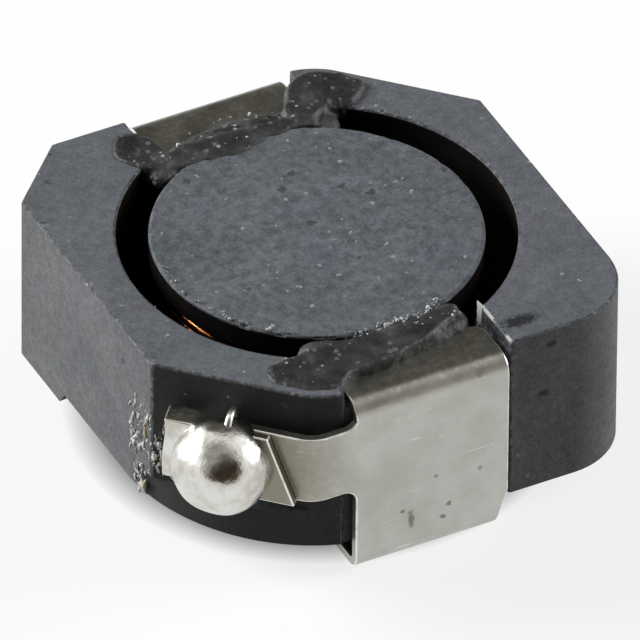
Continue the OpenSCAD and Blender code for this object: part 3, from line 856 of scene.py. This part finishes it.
def smear(top, outline):
    """A flat run of adhesive with sloping sides, which stands over the ring's top by a little."""
    put_down()
    bpy.ops.mesh.primitive_circle_add(vertices=len(outline), radius=1, fill_type="NGON", location=(0, 0, 0))
    run = bpy.context.object
    for vertex, (x, y) in zip(run.data.vertices, outline):
        vertex.co = (x, y, LIP_Z)
    bpy.ops.object.mode_set(mode="EDIT")
    bpy.ops.mesh.select_all(action="SELECT")
    bpy.ops.mesh.bevel(offset=0.2, segments=3, affect="VERTICES")
    bpy.ops.mesh.select_all(action="SELECT")
    bpy.ops.mesh.extrude_region_move(TRANSFORM_OT_translate={"value": (0, 0, RING_HIGH.z - LIP_Z)})
    bpy.ops.mesh.extrude_region_move(TRANSFORM_OT_translate={"value": (0, 0, top)})
    bpy.ops.transform.resize(value=(0.93, 0.82, 1))
    bpy.ops.mesh.select_all(action="SELECT")
    bpy.ops.mesh.normals_make_consistent(inside=False)
    bpy.ops.object.mode_set(mode="OBJECT")
    return run


def pour(smears, start, end):
    """One run of adhesive: its smears, and the gap filled between two angles."""
    pieces = [smear(top, outline) for top, outline in smears]
    steps = round((end - start) / 2)
    for step in range(steps + 1):
        a = math.radians(start + (end - start) * step / steps)
        place = (GAP_R * math.cos(a), GAP_R * math.sin(a), GAP_Z)
        put_down()
        bpy.ops.mesh.primitive_uv_sphere_add(segments=20, ring_count=10, radius=1, location=place, scale=DROP)
        pieces.append(bpy.context.object)
    run = join(pieces)
    bpy.ops.object.transform_apply()
    press(run, "REMESH", mode="VOXEL", voxel_size=0.035)
    press(run, "SMOOTH", factor=0.5, iterations=9)
    waves = bpy.data.textures.new("adhesive_waves", "CLOUDS")
    waves.noise_scale = 0.28
    waves.noise_depth = 3
    press(run, "DISPLACE", texture=waves, strength=0.07, mid_level=0.5, texture_coords="LOCAL")
    bpy.ops.object.shade_smooth()
    return run


# Each smear as how far it stands over the ring's top, and its outline
front_smears = [
    (0.06, [
        (-1.6, -3.35), (-2.4, -3.45), (-3.1, -3.55), (-3.1, -4.1), (-2.6, -4.6), (-1.95, -4.88),
        (-1.5, -4.45), (-0.45, -4.42), (0.6, -4.15), (1.0, -3.85), (1.45, -3.65), (1.5, -3.3),
        (0.2, -3.45), (-0.8, -3.5),
    ]),
]
rear_smears = [
    (0.06, [(-2.45, 4.6), (-2.1, 4.75), (-1.75, 4.5), (-1.6, 3.8), (-1.7, 3.3), (-2.3, 3.4), (-2.7, 4.0)]),
    (0.045, [
        (-2.0, 3.6), (-1.6, 3.1), (-1.2, 3.15), (-0.25, 2.97), (0.35, 3.2), (1.2, 3.25), (1.7, 3.1),
        (1.55, 3.5), (1.15, 3.65), (-0.05, 3.78), (-1.2, 3.85),
    ]),
    (0.13, [
        (1.5, 4.5), (2.05, 4.85), (2.45, 4.7), (2.9, 4.35), (3.2, 3.85), (2.65, 3.35), (1.95, 3.5),
        (1.5, 3.15), (1.0, 3.6), (1.4, 4.2),
    ]),
]

# Black epoxy, cured: a soft uneven gloss, grey where it is thin and brown where
# it is thick over the gap, with pale grit and dust of up to 0.07 mm in radius.
# It ran in waves of 0.6 mm, and its skin is wrinkled at 0.14 mm.
material, tree, shader, mm = new_material("cured_epoxy")
flow = add(tree, NOISE, inputs={"Vector": mm, "Scale": 1.6, "Detail": 5.0, "Roughness": 0.6})
tint = add(tree, RAMP, inputs={0: flow}, stops=[(0.35, "#1c1b1b"), (0.5, "#2c2b2c"), (0.62, "#404042")])
tint = stain(tree, tint, mm, (0.1, -4.1, 4.1), (1.2, 0.42, 0.5), "#2a2320")
grit = spots(tree, mm, 8.0, 0.07, 0.22)
tint = add(tree, MIX, OVER, {0: grit, 6: tint, 7: "#626264"}, give=2)
dust = spots(tree, mm, 5.0, 0.05, 0.28)
tint = add(tree, MIX, OVER, {0: dust, 6: tint, 7: "#a2a2a4"}, give=2)
rough = add(tree, RAMP, inputs={0: flow}, stops=[(0.3, 0.34), (0.7, 0.6)])
skin = add(tree, NOISE, inputs={"Vector": mm, "Scale": 7.0, "Detail": 5.0, "Roughness": 0.7})
coat(tree, shader, tint, rough, skin, 0.8, 0.04)
deliver(pour(front_smears, 243, 288), "front_epoxy", [material], ["front_adhesive"])
deliver(pour(rear_smears, 62, 118), "rear_epoxy", [material], ["rear_adhesive"])

# ------------------------------------------------
# Flux residue: rosin flux left by hand soldering, dried to pale flakes on the
# ring's edge beside the front joint. It only clings there.

random.seed(11)


def shard(place, size, stretch):
    """One tiny angular fragment."""
    put_down()
    bpy.ops.mesh.primitive_ico_sphere_add(subdivisions=1, radius=size, location=place)
    piece = bpy.context.object
    piece.scale = (random.uniform(0.4, 1.0), random.uniform(0.4, 1.0), random.uniform(0.7, stretch))
    piece.rotation_euler = (random.uniform(-0.8, 0.8), 0, random.uniform(0, 3))
    return piece


def heap(pieces, seed):
    """Joins fragments, and roughens them."""
    pile = join(pieces)
    bpy.ops.object.transform_apply()
    bpy.ops.object.mode_set(mode="EDIT")
    bpy.ops.mesh.select_all(action="SELECT")
    bpy.ops.transform.vertex_random(offset=0.012, seed=seed)
    bpy.ops.object.mode_set(mode="OBJECT")
    return pile


# Most flakes lie on the plain side, up to its edge, and the rest past it on the chamfer
EDGE_Y = RING_LOW.y + LEAD_CHAMFER
LEDGE_EDGE_Y = RING_LOW.y + LEDGE_CORNER - 0.9
shards = []
for count in range(180):
    past_edge = random.uniform(-0.95, 0.0) if count < 120 else random.uniform(0.0, 0.4)
    z = random.uniform(0.95, 3.3) if past_edge < 0 else random.gauss(2.3, 0.35)
    size = 0.016 + 0.062 * random.random() ** 2.2
    if z < LEDGE_TOP:
        place = (-HALF_X, LEDGE_EDGE_Y - past_edge * 0.6, z)
    elif past_edge < 0:
        place = (-HALF_X, EDGE_Y - past_edge, z)
    else:
        place = (-HALF_X + past_edge * DIAGONAL, EDGE_Y - past_edge * DIAGONAL, z)
    shards.append(shard(place, size, 3.2))

# Dried rosin: pale and waxy, and amber where it is thick, in patches of 0.5 mm
material, tree, shader, mm = new_material("dried_rosin_flux", ior=1.53)
age = add(tree, NOISE, inputs={"Vector": mm, "Scale": 2.2, "Detail": 3.0})
tint = add(tree, RAMP, inputs={0: age}, stops=[(0.38, "#b9b9b7"), (0.52, "#f0f0ee"), (0.66, "#b0a070")])
rough = add(tree, RAMP, inputs={0: age}, stops=[(0.3, 0.25), (0.7, 0.45)])
coat(tree, shader, tint, rough, age, 0.4, 0.02)
deliver(heap(shards, 5), "flux_residue", [material])

# ------------------------------------------------
# Ferrite crumbs: specks broken from the drum's rim, which lie along it and
# have stuck in the adhesive.

# Each spread as its count, the angles and the radii it lies between, and its least size
spreads = [
    (60, (172, 236), (3.36, 3.49), 0.012),
    (55, (244, 286), (3.38, 4.05), 0.012),
    (35, (62, 118), (3.3, 4.2), 0.012),
    (60, (266, 291), (3.4, 3.95), 0.024),
    (40, (264, 292), (3.3, 3.52), 0.024),
]
crumbs = []
for count, angles, radii, least in spreads:
    for _ in range(count):
        a, reach = math.radians(random.uniform(*angles)), random.uniform(*radii)
        size = least + 0.045 * random.random() ** 3
        place = (reach * math.cos(a), reach * math.sin(a), RING_HIGH.z + 0.02)
        crumbs.append(shard(place, size, 1.2))

# Crushed ferrite: grey, and nearly white where a fresh break catches the light.
# Its patches are 0.2 mm wide, so that crumb differs from crumb.
material, tree, shader, mm = new_material("crushed_ferrite", ior=1.6)
crush = add(tree, NOISE, inputs={"Vector": mm, "Scale": 5.0, "Detail": 3.0})
tint = add(tree, RAMP, inputs={0: crush}, stops=[(0.38, "#707275"), (0.6, "#dcdcdc")])
rough = add(tree, RAMP, inputs={0: crush}, stops=[(0.3, 0.3), (0.7, 0.6)])
coat(tree, shader, tint, rough, crush, 0.4, 0.02)
deliver(heap(crumbs, 6), "ferrite_crumbs", [material])

# ------------------------------------------------
# Table: a pale matt table top in a dim white room. It keeps the part's shadow,
# and glows to white beyond the part, where only the camera and gloss see it.

TABLE_SIZE, TABLE_DROP = 4.0, 0.00002  # in metres; it lies a hair under the pads


def seen(tree):
    """1 for rays that show the background, straight or by gloss or glass, and 0 for those that light."""
    path = add(tree, "LightPath").node
    rays = path.outputs["Is Camera Ray"]
    for kind in ("Is Glossy Ray", "Is Transmission Ray"):
        rays = add(tree, MATH, {"operation": "MAXIMUM"}, {0: rays, 1: path.outputs[kind]})
    return rays


put_down()
bpy.ops.mesh.primitive_plane_add(size=TABLE_SIZE, location=(0, 0, -TABLE_DROP))
table = bpy.context.object
table.name = "table_top"
material, tree = bare_material("white_table")
shown = seen(tree)
colour = add(tree, MIX, OVER, {0: shown, 6: "#707070", 7: "#7f7f7f"}, give=2)
matt = add(tree, "BsdfDiffuse", inputs={"Color": colour})
# The glow starts 4.3 mm out and is full at 5.3 mm, and is left out under the part, which paints shade there
ground = add(tree, "TexCoord", give="Object")
out = add(tree, VECTOR, {"operation": "LENGTH"}, {0: ground}, give="Value")
out = add(tree, MATH, {"operation": "MULTIPLY"}, {0: out, 1: 0.1 / MM})
beyond = add(tree, RAMP, inputs={0: out}, stops=[(0.43, 0.0), (0.53, 0.8)])
lift = add(tree, MATH, {"operation": "MULTIPLY"}, {0: shown, 1: beyond})
glow = add(tree, "Emission", inputs={"Color": "#ffffff", "Strength": lift})
both = add(tree, "AddShader", inputs={0: matt, 1: glow})
add(tree, "OutputMaterial", inputs={"Surface": both})
table.data.materials.append(material)

world = bpy.data.worlds.new("studio")
bpy.context.scene.world = world
world.use_nodes = True
tree = world.node_tree
tree.nodes.clear()
room = add(tree, "Background", inputs={"Color": "#ffffff", "Strength": 0.12})
backdrop = add(tree, "Background", inputs={"Color": "#ffffff", "Strength": 1.0})
mix = add(tree, "MixShader", inputs={0: seen(tree), 1: room, 2: backdrop})
add(tree, "OutputWorld", inputs={"Surface": mix})

# ------------------------------------------------
# Lamps: two soft round lamps, a strong one behind on the left and a weak one
# on the right. Sizes and distances are in metres, and power in watts.

LAMP_DISTANCE = 0.3


def lamp(name, way, size, power):
    """A round lamp, at the lamps' distance in a direction, turned to the part."""
    light = bpy.data.lights.new(name, "AREA")
    light.shape = "DISK"
    light.size = size
    light.energy = power
    holder = bpy.data.objects.new(name, light)
    bpy.context.scene.collection.objects.link(holder)
    way = Vector(way).normalized()
    holder.location = way * LAMP_DISTANCE
    holder.rotation_euler = way.to_track_quat("Z", "Y").to_euler()


lamp("key_lamp", (-0.66, 0.64, 0.42), 0.16, 1.2)
lamp("right_lamp", (0.94, -0.22, 0.42), 0.14, 0.52)

# ------------------------------------------------
# Camera: it looks down on the front left corner from far off, with a long
# lens, so that upright edges stay upright. Its frame is 13.3 mm wide at the part.

FRAME_WIDTH = 13.338 * MM
LENS, SENSOR = 1600.0, 36.0
AZIMUTH, ELEVATION, ROLL = math.radians(-27.41), math.radians(38.91), math.radians(0.505)
# The frame's middle, a little right of the foot's middle and well above it
AIM_RIGHT, AIM_UP = 0.09587 * MM, 1.71935 * MM

level_reach = math.cos(ELEVATION)
back = Vector((math.sin(AZIMUTH) * level_reach, -math.cos(AZIMUTH) * level_reach, math.sin(ELEVATION)))
distance = FRAME_WIDTH / (SENSOR / LENS)
turn = back.to_track_quat("Z", "Y") @ Quaternion((0, 0, 1), ROLL)
aim = turn @ Vector((AIM_RIGHT, AIM_UP, 0))
camera_data = bpy.data.cameras.new("camera")
camera_data.sensor_width = SENSOR
camera_data.lens = LENS
camera_data.clip_start = distance * 0.1
camera_data.clip_end = distance * 4
camera = bpy.data.objects.new("camera", camera_data)
camera.rotation_mode = "QUATERNION"
camera.rotation_quaternion = turn
camera.location = aim + back * distance
bpy.context.scene.collection.objects.link(camera)
bpy.context.scene.camera = camera
bpy.context.scene.view_settings.view_transform = "Standard"

# ------------------------------------------------
# Cards: round studio cards, which neither light nor shade the part and show
# only by reflection. They give the bright metal something dark to reflect.


def card(name, way, distance, radius, colour):
    """A card in a direction from the part, turned to it, with its sizes in metres."""
    put_down()
    way = way.normalized()
    bpy.ops.mesh.primitive_circle_add(vertices=48, radius=radius, fill_type="NGON", location=way * distance)
    sheet = bpy.context.object
    sheet.name = name
    sheet.rotation_euler = way.to_track_quat("Z", "Y").to_euler()
    sheet.visible_camera = sheet.visible_diffuse = sheet.visible_shadow = False
    material, tree = bare_material(name)
    glow = add(tree, "Emission", inputs={"Color": colour, "Strength": 1.0})
    add(tree, "OutputMaterial", inputs={"Surface": glow})
    sheet.data.materials.append(material)


card("front_card", back + Vector((0.05, 0, -0.08)), 0.11, 0.112, "#756b60")
card("front_core", back + Vector((0.06, 0, -0.1)), 0.108, 0.068, "#433a33")
card("front_mat", back, 0.112, 0.125, "#a5a39c")
card("rear_card", Vector((0.36, 0.69, 0.63)), 0.12, 0.085, "#5d5a54")
